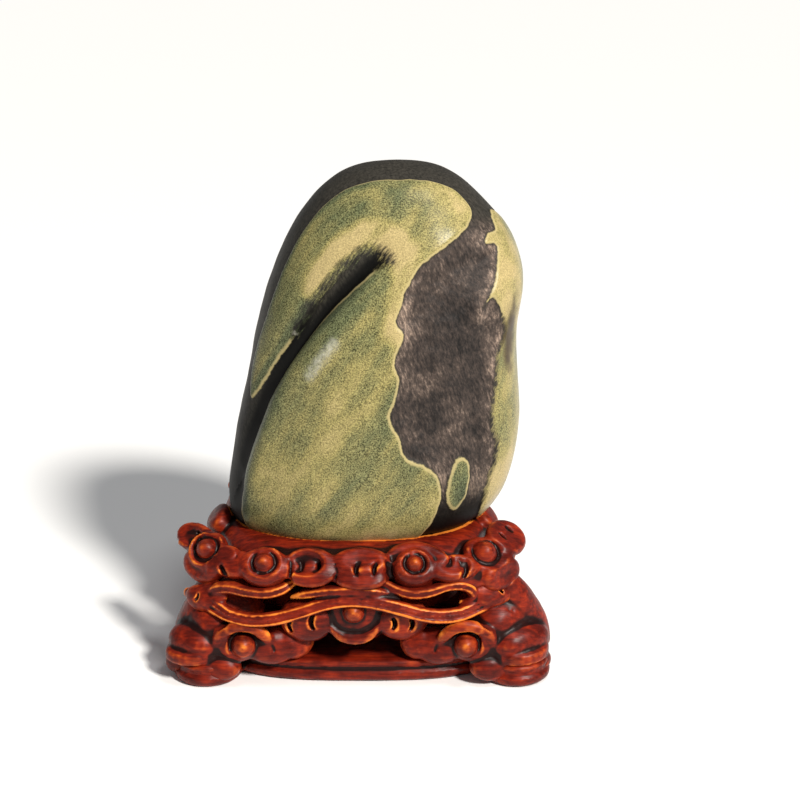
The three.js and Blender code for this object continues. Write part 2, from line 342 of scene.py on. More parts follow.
shape = bmesh.new()
moulded(shape, (0, 0), BASE_HALF, BASE_SQUARENESS, 96)
for across, along in (PAD_PLACE, (PAD_PLACE[0] * BACK_NARROWING, -PAD_PLACE[1])):
    for side in (-1, 1):
        moulded(shape, (side * across, along), (PAD_RADIUS, PAD_RADIUS), 2, 48)
base = new_piece("base_board", mesh_of(shape, "base_board"))
fused(base, BASE_STEP)
finished_wood(base, tool_marks=0.1)
handed_over(base, "base")

# ---- The legs ----
# Four carved cloud feet, of the same wood. Each was sawn out as a thick bracket that leans outwards, then
# carved: a smooth shoulder, an arched scroll round a pearl in front and at the side, and gouge-cut lobes.

LEG_BLOCK = [  # of the right front leg: place, half sizes, heading and lift
    ((97, -66, 47), (23, 22, 19), 40, 10), ((102, -70, 36), (26, 22, 22), 40, 10),
    ((112, -76, 24), (25, 14, 22), 35, 20), ((92, -84, 30), (17, 16, 13), 10, 5),
    ((83, -90, 30), (17, 14, 10), 0, 10), ((113, -49, 33), (16, 16, 12), 84, 5),
    ((107, -86, 27), (14, 15, 11), 25, 20), ((60, -88, 26), (18, 13, 10), -10, 15),
    ((46, -87, 28), (12, 12, 8), -20, 20), ((122, -70, 24), (14, 15, 12), 60, 15),
    ((126, -78, 10), (12, 9, 12), 40, 10), ((98, -92, 12), (17, 10, 9), 15, 10),
    ((120, -52, 11), (13, 10, 10), 80, 0),
]
# Rolls: place, half width and half thickness at each corner.
LEG_SHOULDER = [
    (104, -72, 68, 9, 10), (111, -70, 56, 13, 12), (117, -68, 42, 16, 13), (123, -67, 28, 17, 13),
    (126, -67, 14, 16, 11),
]
LEG_PEARLS = [((79, -97, 30), 8.5, 0, 25), ((121, -47, 31), 7, 84, 15)]  # place, radius, heading and lift
LEG_ARCH = [
    (60, -93, 29, 2, 2), (64, -97, 37, 4, 3.5), (71, -98, 43, 4.5, 4), (80, -98, 45, 4.5, 4),
    (89, -97, 42, 4.5, 4), (96, -96, 36, 4, 3.5), (97, -95, 28, 3, 3), (94, -95, 21, 1.5, 2),
]
SIDE_ARCH = [
    (123, -58, 24, 2, 2), (123, -58, 35, 4, 3.5), (122, -50, 42, 4.5, 4), (122, -40, 39, 4, 3.5),
    (122, -35, 29, 2, 2),
]
LEG_CREASE = [
    (82, -88, 58, 1, 2), (87, -93, 52, 1.6, 3.5), (90, -97, 47, 1.6, 3.5), (98, -99, 42, 1.2, 3),
    (106, -98, 40, 0.5, 2),
]
LEG_CRESCENTS = [  # place, heading, lift, radius, turn
    ((107, -96, 30), 25, 25, 5, 200), ((112, -93, 28), 28, 25, 5, 200), ((37, -95, 30), -15, 20, 5, 160),
    ((48, -99, 29), -12, 15, 5, 160), ((58, -100, 28), -5, 15, 5, 170), ((124, -80, 27), 50, 30, 5, 200),
    ((127, -74, 26), 60, 25, 5, 200), ((108, -84, 50), 35, 35, 6, 230), ((118, -72, 44), 50, 35, 5, 230),
]
LEG_STEP = 1.0
FRONT_LEFT_LEAN = 9  # by which the front of the left foot was carved further out, in millimetres
LEAN_START, LEAN_END = -62, -98  # from front to back, between which the lean grows


def placed(x, y, z, heading=0.0, lift=0.0):
    """The place of a carved part on the stand: its own x to the right, y up and z out of the wood.

    The heading is 0 towards the front and 90 to the right, and the lift is how far up it looks."""
    turn = Matrix.Rotation(math.radians(heading), 4, "Z") @ Matrix.Rotation(math.radians(90 - lift), 4, "X")
    return Matrix.Translation((x - MIDDLE, y, z)) @ turn


def pebble(shape, place, half, fullness=2.5, around=32, up=16):
    """A rounded lump. The fuller, the more its sides stand up like a drum's."""
    points = bmesh.ops.create_uvsphere(shape, u_segments=around, v_segments=up, radius=1)["verts"]
    for vert in points:
        level = math.hypot(vert.co.x, vert.co.y)
        vert.co /= (level ** fullness + abs(vert.co.z) ** fullness) ** (1 / fullness)
    bmesh.ops.transform(shape, matrix=place @ Matrix.Diagonal((*half, 1)), verts=points)


def further_out(place, rise):
    """The same place, but so many millimetres out of the wood."""
    return place @ Matrix.Translation((0, 0, rise))


def smooth_line(corners, steps=6, closed=False):
    """Points along a smooth curve through the corners."""
    corners = np.array(corners, float)
    count = len(corners)
    points = []
    for i in range(count if closed else count - 1):
        near = [k % count if closed else min(max(k, 0), count - 1) for k in range(i - 1, i + 3)]
        a, b, c, d = corners[near]
        bend, swing = 2 * a - 5 * b + 4 * c - d, 3 * b - a - 3 * c + d
        points += [0.5 * (2 * b + (c - a) * w + bend * w**2 + swing * w**3) for w in np.arange(steps) / steps]
    return np.array(points if closed else points + [corners[-1]])


def roll(shape, place, corners, out=(0, 0, 1), flutes=(), steps=5, around=16):
    """A roll through corners of [x, y, z, half width, half thickness], with flutes along its outer side."""
    line = smooth_line(corners, steps)
    spots, sizes = line[:, :3], np.maximum(line[:, 3:], 0.05)
    ahead = np.gradient(spots, axis=0)
    ahead /= np.linalg.norm(ahead, axis=1)[:, None]
    across = np.cross(ahead, out(spots) if callable(out) else out)
    across /= np.linalg.norm(across, axis=1)[:, None]
    rise = np.cross(across, ahead)
    points = column(shape, around, len(line))
    for vert in points:
        k = round(vert.co.z)
        u, v = vert.co.x, vert.co.y
        if v > 0:
            v -= sum(depth * v * math.exp(-((u - middle) / width) ** 2) for middle, width, depth in flutes)
        vert.co = spots[k] + across[k] * u * sizes[k, 0] + rise[k] * v * sizes[k, 1]
    bmesh.ops.transform(shape, matrix=place, verts=points)


def arc(degrees, reach, back, height, half, tip):
    """Corners of a roll that bends round an arc and thins towards its ends."""
    corners = []
    for a, share in zip(np.radians(degrees), np.sin(np.linspace(tip, math.pi - tip, len(degrees))) ** 0.5):
        x, y = reach[0] * math.cos(a) - back[0], reach[1] * math.sin(a) - back[1]
        corners.append((x, y, height, half[0] * share, half[1] * share))
    return corners


def crescent(knife, place, radius, turn, half_width=1.1, depth=3.0, span=120):
    """A cut like a thin moon, pressed in with a curved gouge. Its bulge looks along the turn."""
    back = np.array([math.cos(math.radians(turn)), math.sin(math.radians(turn))]) * radius
    degrees = turn + np.linspace(-span / 2, span / 2, 9)
    roll(knife, place, arc(degrees, (radius, radius), back, 0, (half_width, depth), 0.12), steps=2, around=8)


def pearl(shape, place, radius):
    """A round bead with a low point on it, left standing when its dish was cut."""
    points = bmesh.ops.create_icosphere(shape, subdivisions=4, radius=1)["verts"]
    for vert in points:
        lean = math.hypot(vert.co.x, vert.co.y)
        if vert.co.z > 0:
            vert.co.z *= 1 + 0.12 * max(0, 1 - lean * 1.4)
    bmesh.ops.transform(shape, matrix=place @ Matrix.Scale(radius, 4), verts=points)


def pearl_in_dish(knife, raised, place, radius, room, dish_rise, pearl_rise):
    """A pearl with some room round it in a dish, and how far out of the wood their middles are."""
    pebble(knife, further_out(place, dish_rise), (radius + room, radius + room, 7), fullness=2.2)
    pearl(raised, further_out(place, pearl_rise), radius)


def lumps(shape, block, fullness=2.5):
    """Rounded lumps by their places, half sizes, headings and lifts."""
    for spot, half, heading, lift in block:
        pebble(shape, placed(*spot, heading, lift), half, fullness)


def gouged(knife, cuts, **gouge):
    """Gouge cuts by their places, headings, lifts, radii and turns."""
    for spot, heading, lift, radius, turn in cuts:
        crescent(knife, placed(*spot, heading, lift), radius, turn, **gouge)


def three_shapes():
    """Empty shapes for the rough lumps, for what the knife takes, and for what stands in its cuts."""
    return bmesh.new(), bmesh.new(), bmesh.new()


def joined(piece, shape):
    """Adds a shape that was drawn in millimetres to a piece's mesh."""
    whole = bmesh.new()
    whole.from_mesh(piece.data)
    whole.from_mesh(mesh_of(shape, "added"))
    whole.to_mesh(piece.data)
    whole.free()


def cut_away(piece, blade):
    """Takes the blade's shape out of a piece, and the blade with it."""
    cut = piece.modifiers.new("cut", "BOOLEAN")
    cut.operation, cut.solver, cut.object = "DIFFERENCE", "MANIFOLD", blade
    applied(piece)
    bpy.data.objects.remove(blade)


def carved(name, rough, knife, raised, step):
    """One piece of wood: the rough lumps as one skin, less the knife's cuts, and what stands in them."""
    piece = new_piece(name, mesh_of(rough, name))
    fused(piece, step * 1.2)
    blade = new_piece("blade", mesh_of(knife, "blade"))
    fused(blade, step * 0.8)
    cut_away(piece, blade)
    joined(piece, raised)
    fused(piece, step)
    return piece


def twin(piece, node, move):
    """The same carving for another node: move takes its points, in millimetres, to where they go."""
    other = new_piece(node + "_carving", piece.data.copy())
    points = points_of(other.data)
    moved = move(points)
    move_points(other.data, moved)
    if np.linalg.det(np.linalg.lstsq(points - points.mean(0), moved - moved.mean(0), rcond=None)[0]) < 0:
        other.data.flip_normals()
    handed_over(other, node)


ON_STAND = Matrix.Translation((-MIDDLE, 0, 0))

rough, knife, raised = three_shapes()
lumps(rough, LEG_BLOCK)
pebble(rough, Matrix.Translation((*PAD_PLACE, 20)), (PAD_RADIUS - 1, PAD_RADIUS - 1, 6), fullness=4)
roll(rough, ON_STAND, LEG_SHOULDER, out=(0.75, -0.65, 0.15), around=24)
roll(rough, ON_STAND, LEG_ARCH, out=(0.1, -1, 0.2))
roll(rough, ON_STAND, SIDE_ARCH, out=(1, -0.2, 0.2))
for spot, radius, heading, lift in LEG_PEARLS:
    place = placed(*spot, heading, lift)
    pearl_in_dish(knife, raised, place, radius, room=2.6, dish_rise=4, pearl_rise=-1)
roll(knife, ON_STAND, LEG_CREASE, out=(0.3, -1, 0.3), around=8)
gouged(knife, LEG_CRESCENTS, half_width=1.7, depth=4.5)
leg = carved("leg_front_right_carving", rough, knife, raised, LEG_STEP)
finished_wood(leg)
handed_over(leg, "leg_front_right")
for node, across, along, lean in [
    ("leg_front_left", -1, 1, FRONT_LEFT_LEAN), ("leg_back_right", BACK_NARROWING, -1, 0),
    ("leg_back_left", -BACK_NARROWING, -1, 0),
]:
    twin(leg, node, lambda p: (
        p * [across, along, 1] - np.outer(ramp(p[:, 1], LEAN_START, LEAN_END), [lean, 0, 0])))

# ---- The pendants ----
# Between the feet, one on each side, a carved drop hangs from the collar: a pearl in a dish, with a lobe on
# each side that has two gouge cuts, and a wide lip below. It is one solid bracket of the same wood.

PENDANT_BLOCK = [
    ((-29, -90, 47), (19, 16, 10), -12, 5), ((36, -90, 47), (18, 15, 9), 12, 0),
    ((3, -89, 53), (19, 18, 11), 0, 8), ((5, -87, 42), (22, 11, 12), 2, 15),
    ((3, -84, 60), (38, 8, 12), 0, 0), ((-24, -84, 56), (16, 10, 12), -5, 0),
    ((30, -84, 56), (16, 10, 12), 5, 0), ((9, -88, 35), (12, 5, 8), 5, 20),
]
PENDANT_PEARL = ((3, -98, 56), 7.5)
PENDANT_LIP = [
    (-14, -95, 52, 1, 2), (-13, -97, 45, 2.2, 3), (-6, -99, 38.5, 3.6, 3.2), (4, -99.5, 36.5, 4.4, 3.4),
    (14, -99, 39, 3.6, 3.2), (20, -96, 45, 2.2, 3), (22, -94, 52, 1, 2),
]
PENDANT_CRESCENTS = [
    ((-41, -96, 45), -18, 5, 7, 180), ((-26, -100, 49), -8, 5, 7, 180), ((43, -97, 46), 14, 5, 6, 0),
    ((31, -99, 47), 8, 5, 6, 0),
]
PENDANT_STEP = 0.95
SIDE_REACH = 4  # that a side pendant stands further out than the front one

rough, knife, raised = three_shapes()
lumps(rough, PENDANT_BLOCK)
roll(rough, ON_STAND, PENDANT_LIP, out=(0, -1, 0.1))
spot, radius = PENDANT_PEARL
pearl_in_dish(knife, raised, placed(*spot, 0, 12), radius, room=2.4, dish_rise=5, pearl_rise=-0.5)
gouged(knife, PENDANT_CRESCENTS, half_width=1.7, depth=5, span=115)
pendant = carved("pendant_front_carving", rough, knife, raised, PENDANT_STEP)
finished_wood(pendant)
handed_over(pendant, "pendant_front")
twin(pendant, "pendant_back", lambda p: p * [BACK_NARROWING, -1, 1])
for node, turned in [("pendant_right", [-1, 1, 1]), ("pendant_left", [1, -1, 1])]:
    twin(pendant, node, lambda p: (p - [0, SIDE_REACH, 0])[:, [1, 0, 2]] * turned)

# ---- The ribbons ----
# A fluted ribbon of cloud runs along the front and another along the back, under the collar's lobes. Each is
# one strip of the same wood, pierced with two long eyes, whose strands end in scrolls and in leaves.

RIBBON_LOW = [  # corners of the lower strand: place, half height, half thickness
    (-110, -71, 56, 2, 2), (-107, -75, 57, 5, 4), (-98, -83, 58, 7, 5), (-90, -89, 55, 6.5, 5.5),
    (-80, -94.5, 51.5, 5, 5.5), (-66, -98.5, 50, 4.8, 5.5), (-50, -100.5, 52, 4.8, 5.5),
    (-33, -101, 57, 4.6, 5.5), (-16, -101, 63, 4.4, 5.5), (1, -101.5, 66, 4.4, 5.5),
    (18, -101, 64, 4.8, 5.5), (34, -101.5, 60, 5, 5.5), (48, -101, 55.5, 5, 5.5),
    (62, -99, 53, 5.2, 5.5), (75, -95.5, 53, 5.2, 5.5), (87, -90, 56, 5.5, 5), (97, -84, 59, 6.5, 5),
    (107, -76, 60, 6, 4), (115, -69, 58, 4, 3), (119, -66, 57, 1.5, 1.5),
]
RIBBON_HIGH = [
    [(-97, -82, 60, 3, 3.5), (-90, -86, 67, 4.5, 4.5), (-80, -90, 70, 4.5, 5), (-67, -94, 69, 4.2, 5),
     (-55, -96, 69, 4, 5), (-45, -94, 71, 4, 5), (-38, -90, 74, 2.8, 4), (-35, -88, 75.5, 1, 1.5)],
    [(-40, -93, 64, 1, 1.5), (-30, -96, 68, 3, 4), (-15, -98.5, 71.5, 3.5, 5), (2, -99.5, 73, 3.5, 5),
     (16, -98.5, 71.5, 3.5, 5), (28, -96, 68, 3, 4), (40, -93, 64, 1, 1.5)],
    [(20, -92, 77, 2, 3), (30, -95, 72, 3.5, 4.5), (42, -96.5, 69, 4.2, 5), (54, -96, 70, 4, 5),
     (65, -94, 73, 3.5, 5), (75, -92, 73, 3.8, 5), (82, -90, 69, 3.8, 4.5), (84, -89, 63, 3.4, 4),
     (80, -90, 59, 3, 3.5), (74, -90, 59, 1.2, 2)],
]
RIBBON_LEAVES = [
    ((-101, -81, 58), (13, 9, 6), -38, 15), ((-92, -84, 63), (11, 9, 5), -30, 25),
    ((-109, -72, 57), (7, 4, 4), -50, 20), ((98, -83, 61), (16, 8, 6), 32, 25),
    ((108, -75, 60), (13, 6.5, 4.5), 40, 30), ((92, -86, 64), (9, 9, 5), 28, 20),
]
RIBBON_CRESCENTS = [
    ((102, -84, 65), 36, 35, 4, 200), ((109, -78, 63), 42, 35, 3.5, 200),
    ((-103, -85, 60), -42, 25, 4, 340),
]
# Flutes: middle across the strand, width and depth, as shares of its half width and half thickness.
LOW_FLUTES, HIGH_FLUTES = [(-0.5, 0.17, 0.6), (0.02, 0.2, 0.55)], [(-0.1, 0.16, 0.4)]
RIBBON_STEP = 0.7


def away_from_middle(spots):
    """Horizontally out of the stand's flattened oval at each spot."""
    out = spots * [0.45, 1, 0]
    return out / np.linalg.norm(out, axis=1)[:, None]


rough, knife, raised = three_shapes()
roll(rough, ON_STAND, RIBBON_LOW, out=away_from_middle, flutes=LOW_FLUTES, around=40)
for strand in RIBBON_HIGH:
    roll(rough, ON_STAND, strand, out=away_from_middle, flutes=HIGH_FLUTES, around=28)
lumps(rough, RIBBON_LEAVES, fullness=2.2)
gouged(knife, RIBBON_CRESCENTS)
ribbon = carved("ribbon_front_carving", rough, knife, raised, RIBBON_STEP)
finished_wood(ribbon, smoothing=2, tool_marks=0.15)
handed_over(ribbon, "ribbon_front")
twin(ribbon, "ribbon_back", lambda p: p * [BACK_NARROWING, -1, 1])

# ---- The collar ----
# The crown that the stone sits in: a thick oval ring of the same wood with a smooth rim, hollowed to fit its
# foot. Clouds are carved round the slope: overlapping lobes, dished curls round pearls, and gouge cuts.

COLLAR_BODY = [  # height, left, right, front and back
    (39, -58, 66, -58, 58), (43, -72, 80, -73, 73), (54, -74, 82, -76, 76), (63, -78, 84, -78, 78),
    (70, -87, 92, -86, 86), (77, -91, 95, -93, 93), (83, -91.5, 95.5, -92.5, 92.5),
    (88, -91, 95.5, -90, 90), (92, -88, 94, -84.5, 84.5), (94.5, -84, 90, -79, 79),
    (95.5, -78, 84, -74, 74),
]
COLLAR_SQUARENESS = 3
# Lobes: place, half width, half height, half thickness, heading, lift, and depth of the dish in it.
LOBES = [
    (-92, -24, 92, 16, 10, 6, -88, 45, 0), (-106, -53, 90, 18, 10.5, 5, -46, 46, 2.2),
    (-99, -71, 78, 17, 12, 8, -42, 12, 1.5), (-83, -79, 88.5, 12, 7.5, 4.5, -25, 55, 1),
    (-78, -83, 82, 16, 8, 7, -18, 35, 0), (-57, -89, 84.5, 17, 13.5, 8, -8, 42, 1),
    (-26, -91, 86, 18, 13, 7, -2, 46, 0), (8, -91, 88.5, 19.5, 11, 6, 0, 54, 1.4),
    (8, -95, 79, 18.5, 8, 8, 0, 26, 0), (44, -89, 83, 15, 12.5, 10, 6, 42, 1),
    (44, -86, 75, 14, 8, 10, 6, 20, 0), (71, -89, 83.5, 17, 9.5, 6, 14, 50, 1.6),
    (91, -74, 83, 17, 14.5, 8, 33, 48, 1), (101, -77, 75, 17, 12, 8, 42, 8, 1.5),
    (107, -55, 91, 18.5, 14.5, 4.5, 62, 58, 0.8), (94, -22, 92, 14, 10, 6, 86, 45, 0),
    (83, -84, 76, 14, 9, 7, 25, 15, 0), (94, -4, 78, 15, 11, 7, 90, 25, 1),
    (-90, -4, 78, 15, 11, 7, -90, 25, 1), (92, -30, 76, 15, 10, 7, 88, 15, 1.5),
    (-88, -30, 76, 15, 10, 7, -88, 15, 1.5),
]
LEAF_TIP = [(-100, -60, 92, 7, 4), (-108, -57, 91, 7, 4), (-115, -54, 88, 4.5, 3), (-119, -53, 86, 1, 1.5)]
GAPS = [  # deep cuts between lobes: place, half width and depth
    [(25, -92, 92, 1, 3), (27, -98, 87, 2.6, 7), (28, -100, 81, 3.2, 8), (27, -99, 75, 1.5, 4)],
    [(-40.5, -90, 92, 0.8, 2), (-39, -96, 88, 1.2, 4), (-40, -99, 82, 1.5, 5), (-43, -99, 76, 1.5, 4)],
    [(-10, -92, 93, 0.8, 2), (-8, -98, 88, 1.3, 4), (-9, -101, 82, 1.3, 4), (-12, -101, 77, 1.2, 3)],
    [(-88, -84, 86, 1, 3), (-84, -89, 79, 2, 5), (-84, -89, 72, 1, 3)],
    [(78, -88, 92, 1, 2), (79, -93, 86, 2, 5), (76, -97, 79, 1.6, 4)],
    [(-104, -62, 92, 1, 3), (-92, -75, 95, 1, 3), (-84, -76, 96, 1, 2)],
]
# Dishes round pearls: place, half width and half height of the dish, pearl radius, heading and lift.
DISHES = [
    (-97, -69, 88.5, 12.5, 12, 7.3, -32, 42), (-57, -91.5, 88.5, 11.5, 10.5, 6.9, -6, 42),
    (44, -92, 88, 10, 9.5, 5.7, 6, 42), (91, -75, 88, 12.5, 12, 8.8, 33, 50),
    (97, 0, 80, 10, 9.5, 6.5, 90, 25), (-93, 0, 80, 10, 9.5, 6.5, -90, 25),
]
RINGS = [  # of the raised walls round the dishes, by the dish's number: start and end angle, and how far out
    (0, -250, 60, 1.0), (1, -200, 75, 1.05), (2, -230, 110, 1.0), (3, -215, 60, 1.0),
]
HOOD = [
    (22, -87, 87, 1, 1.5), (27, -86, 91, 3, 3), (33, -83, 94.5, 4, 3), (42, -81, 96, 4.4, 3),
    (52, -82, 95, 4.4, 3), (60, -85, 92.5, 4, 3), (66, -88, 89.5, 3.5, 3), (68, -91, 86.5, 2.5, 2.5),
    (64, -93, 86, 1.2, 2),
]
LIPS = [
    [(-43, -86, 92, 0.8, 1.5), (-39.5, -90, 89, 1.3, 2.5), (-38.5, -94.5, 84.5, 1.6, 3),
     (-42, -97.5, 80, 1.2, 2.5)],
    [(-12, -88, 92, 0.8, 1.5), (-8.5, -92, 88.5, 2, 3), (-10, -97, 83, 2.4, 3.5),
     (-18, -100.5, 78.5, 2.4, 3.5), (-28, -101, 77, 1.6, 3), (-38, -99, 78, 0.8, 2)],
    [(-12, -97, 80, 0.8, 2), (-4, -100.5, 77.5, 2.2, 3.5), (8, -102.5, 76.5, 2.6, 4),
     (20, -101, 77.5, 2.2, 3.5), (27, -97, 80, 0.8, 2)],
]
# Small curls: place, radius, heading and lift.
SMALL_CURLS = [(-80, -82, 91, 4.5, -22, 55), (-72, -84, 90.5, 4, -15, 50), (63, -88, 89, 4.5, 12, 50)]
BOWL = ((-29, -95.5, 91), (12.5, 9, 4.2), -2, 46)  # a plain dish: place, half sizes, heading and lift
CRESCENTS = [  # place, heading, lift, radius, turn, half width
    (-31.6, -93, 87, -4, 46, 4.5, 0, 1.4), (-20, -93, 87, -2, 46, 4.5, 0, 1.4),
    (4.7, -99.5, 88, 0, 54, 5, 180, 1.7), (16.7, -99.5, 88, 0, 54, 5, 180, 1.7),
    (-104, -57, 94, -52, 46, 9, 60, 1.4), (76, -92, 90, 14, 50, 5, 0, 1.5),
]
SLITS = [((102, -46, 96), (115, -52, 94)), ((97, -56, 96), (109, -63, 93))]
COLLAR_STEP = 1.12
LOBE_RIM = 1.6  # left standing round a dished lobe
DISH_RIM = 1.2  # and round a pearl's dish


def merged_copy(node):
    """A CAD node's mesh as one closed surface of four-sided faces where it can be."""
    copy = bmesh.new()
    copy.from_mesh(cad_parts[node].data)
    bmesh.ops.remove_doubles(copy, verts=copy.verts, dist=1e-6)
    bmesh.ops.join_triangles(copy, faces=copy.faces, angle_face_threshold=0.7, angle_shape_threshold=1.2)
    mesh = bpy.data.meshes.new(node + "_visible")
    copy.to_mesh(mesh)
    copy.free()
    return mesh


def plate(rough, knife, place, half, dish):
    """A flat lobe with an upright edge, and a dish cut into it that leaves a rim all round."""
    pebble(rough, place, half, fullness=4)
    if dish:
        inner = (half[0] - LOBE_RIM, half[1] - LOBE_RIM, 6)
        pebble(knife, further_out(place, half[2] - dish + inner[2]), inner, fullness=2.6)


def carve_clouds(rough, knife, raised):
    """All the carving on the front half of the collar."""
    for x, y, z, wide, high, thick, heading, lift, dish in LOBES:
        plate(rough, knife, placed(x, y, z, heading, lift), (wide, high, thick), dish)
    roll(rough, ON_STAND, LEAF_TIP, out=(-0.3, -0.6, 0.8))
    for gap in GAPS:
        roll(knife, ON_STAND, gap, out=(0, -1, 0.7), around=8)
    roll(rough, ON_STAND, HOOD, out=(0.1, -0.6, 1))
    for lip in LIPS:
        roll(rough, ON_STAND, lip, out=(0, -1, 0.6))
    for x, y, z, wide, high, radius, heading, lift in DISHES:
        place = placed(x, y, z, heading, lift)
        pebble(rough, further_out(place, -3), (wide + 2, high + 2, 6), fullness=3)
        pebble(knife, further_out(place, 5), (wide - DISH_RIM, high - DISH_RIM, 7.5), fullness=2.2)
        pearl(raised, further_out(place, 0.5), radius)
    for number, start, end, out in RINGS:
        x, y, z, wide, high, _, heading, lift = DISHES[number]
        wall = arc(np.linspace(start, end, 14), (wide * out, high * out), (0, 0), 1.6, (1.7, 2.2), 0.15)
        roll(raised, placed(x, y, z, heading, lift), wall, steps=3, around=12)
    lumps(knife, [BOWL], fullness=2.2)
    for x, y, z, radius, heading, lift in SMALL_CURLS:
        place = placed(x, y, z, heading, lift)
        pebble(rough, further_out(place, -1), (radius, radius, 3.5))
        crescent(knife, place @ Matrix.Translation((radius + 0.8, 0, 1)), radius + 1, 0, depth=4, span=170)
    for x, y, z, heading, lift, radius, turn, width in CRESCENTS:
        crescent(knife, placed(x, y, z, heading, lift), radius, turn, width, depth=5.5, span=165)
    for first, last in SLITS:
        middle = [(a + b) / 2 for a, b in zip(first, last)]
        slit = [(*first, 0.3, 0.5), (*middle, 1.5, 3.5), (*last, 0.3, 0.5)]
        roll(knife, ON_STAND, slit, out=(0.6, -0.2, 1), around=8)


rough, knife, raised = three_shapes()
stacked(rough, [(height, left - MIDDLE, right - MIDDLE, ahead, behind)
                for height, left, right, ahead, behind in COLLAR_BODY], COLLAR_SQUARENESS, 128)
for narrowing, end in ((1, 1), (BACK_NARROWING, -1)):
    half = three_shapes()
    carve_clouds(*half)
    for part, whole in zip(half, (rough, knife, raised)):
        bmesh.ops.transform(part, matrix=Matrix.Diagonal((narrowing, end, 1, 1)), verts=part.verts)
        bmesh.ops.recalc_face_normals(part, faces=part.faces)
        passed = bpy.data.meshes.new("passed")
        part.to_mesh(passed)
        part.free()
        whole.from_mesh(passed)
collar = carved("collar_carving", rough, knife, raised, COLLAR_STEP)
seat = new_piece("seat", merged_copy("stone"))
stone_surface = BVHTree.FromPolygons(
    [vert.co for vert in seat.data.vertices], [face.vertices for face in seat.data.polygons])
cut_away(collar, seat)
finished_wood(collar, worn_near=stone_surface)
handed_over(collar, "collar")

# ---- The stone ----
# One river cobble of dark, fine-grained rock with thick lenses of olive-green, speckled rock in it. The river
# wore the black faster, so that the green stands a little proud. It was then brushed and waxed.

STONE_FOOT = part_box("stone")[0].z * 1000
STONE_MIDDLE = np.array([6, 0, 211])  # of the ellipsoid that the markings are laid out on, in millimetres
STONE_REACH = np.array([100, 76, 128])

# Outlines of the green rock on the front, in hundredths of a radian round that ellipsoid from its front:
# [to the right, up]. One step is about a millimetre.
HOOK = [
    (-104, -24), (-111, -9), (-110, 10), (-102, 33), (-89, 65), (-72, 92), (-50, 111), (-24, 126), (5, 130),
    (35, 127), (62, 120), (78, 108), (81, 96), (71, 83), (51, 71), (36, 63), (25, 50), (15, 57), (14, 70),
    (2, 75), (-12, 71), (-28, 59), (-46, 43), (-58, 30), (-73, 15), (-87, -3), (-97, -18),
]
SLAB = [
    (13, 72), (3, 64), (-12, 54), (-31, 40), (-49, 24), (-64, 6), (-75, -12), (-82, -31), (-86, -48),
    (-82, -66), (-75, -83), (-60, -98), (-20, -104), (18, -98), (33, -76), (40, -62), (42, -53),
    (39, -45), (31, -40), (22, -37), (18, -27), (13, -18), (17, -9), (20, 1), (17, 10), (20, 18),
    (24, 26), (19, 33), (23, 43), (27, 53), (32, 63), (26, 72),
]
STRIP = [
    (104, 96), (101, 85), (90, 80), (87, 74), (97, 73), (92, 58), (85, 46), (78, 37), (86, 42), (95, 34),
    (103, 22), (94, 7), (90, -8), (84, -22), (82, -32), (86, -40), (82, -49), (75, -60), (72, -80),
    (84, -100), (118, -84), (140, -52), (152, -22), (158, 10), (162, 50), (150, 84), (128, 104),
    (112, 106),
]
EYE = [
    (55, -41), (60, -41), (63, -46), (61, -54), (57, -61), (51, -65), (47, -63), (45, -57), (47, -50),
    (50, -45),
]
# The same on the back, from its middle.
BACK_LENS = [
    (-80, -20), (-74, 30), (-44, 74), (0, 92), (34, 78), (46, 40), (24, 6), (14, -34), (-14, -66),
    (-56, -62),
]
BACK_VEIN = [(66, -84), (54, -40), (66, 2), (58, 44), (72, 86), (92, 74), (84, 30), (96, -10), (84, -60)]

GROOVE_LINE = [
    (18, 75), (3, 69), (-16, 56), (-36, 41), (-54, 23), (-70, 5), (-82, -15), (-89, -38), (-92, -62),
]
GROOVE_DEPTH = [0.5, 4.5, 9, 11, 11, 9.5, 7, 5, 3]  # at each of its corners, in millimetres
GROOVE_STEEP, GROOVE_GENTLE = 6.5, 14  # half widths towards the slab and towards the hook
SHOULDER = (2.2, 17, 8)  # swelling of the slab beside the groove: height, distance and half width
HOLLOW_DEPTH = 4.5
LENS_RISE = 1.8  # of the green over the black
CROWN_RISE = 2.4
SWELLS = [(1.0, 48, 3.0), (0.3, 14, 5.0)]  # of the whole surface: height, size and seed
BREAKS = [(0.9, 17, 8.0), (0.7, 7, 9.0), (0.35, 3.4, 11.0)]  # and of the broken rock in the hollow
STONE_STEP = 1.44
TAN_LINE = [(-44, 54), (-32, 68), (-19, 80), (4, 88), (22, 76), (27, 60), (23, 44), (21, 30)]
BRUSHED_LINE = [(-59, 30), (-45, 45), (-28, 60), (-12, 72), (4, 76), (16, 69)]
FADING_LINE = [(100, 24), (92, 6), (88, -20), (85, -44), (76, -62)]
# A painted highlight along the raised edge of the slab beside the groove, and a pale chip in the black.
PAINTED_HIGHLIGHT_LINE = [(-41, 3), (-33, 12), (-24, 21)]
CHIP = (-64, 26)
WAIST_STAIN = (111, 19)
DARK_BAND = (0.16, 14, 7)  # of the slab beside the groove: how much darker, distance and half width
PALE_PATCHES = [  # middle, reach, how much paler, or greener when less than nothing
    ((64, 103), 22, 0.3), ((-30, -10), 24, 0.22), ((-58, -62), 30, 0.25), ((4, -88), 26, 0.42),
    ((10, -60), 14, 0.2), ((-34, -78), 16, -0.22), ((4, -30), 22, -0.04), ((30, 100), 24, -0.03),
    ((-70, 48), 26, -0.16), ((-20, 108), 30, -0.04), ((106, 40), 24, 0.3), ((100, 84), 18, 0.25),
    ((92, -66), 24, 0.35), ((96, -40), 20, -0.1), ((54, -54), 9, -0.42),
]


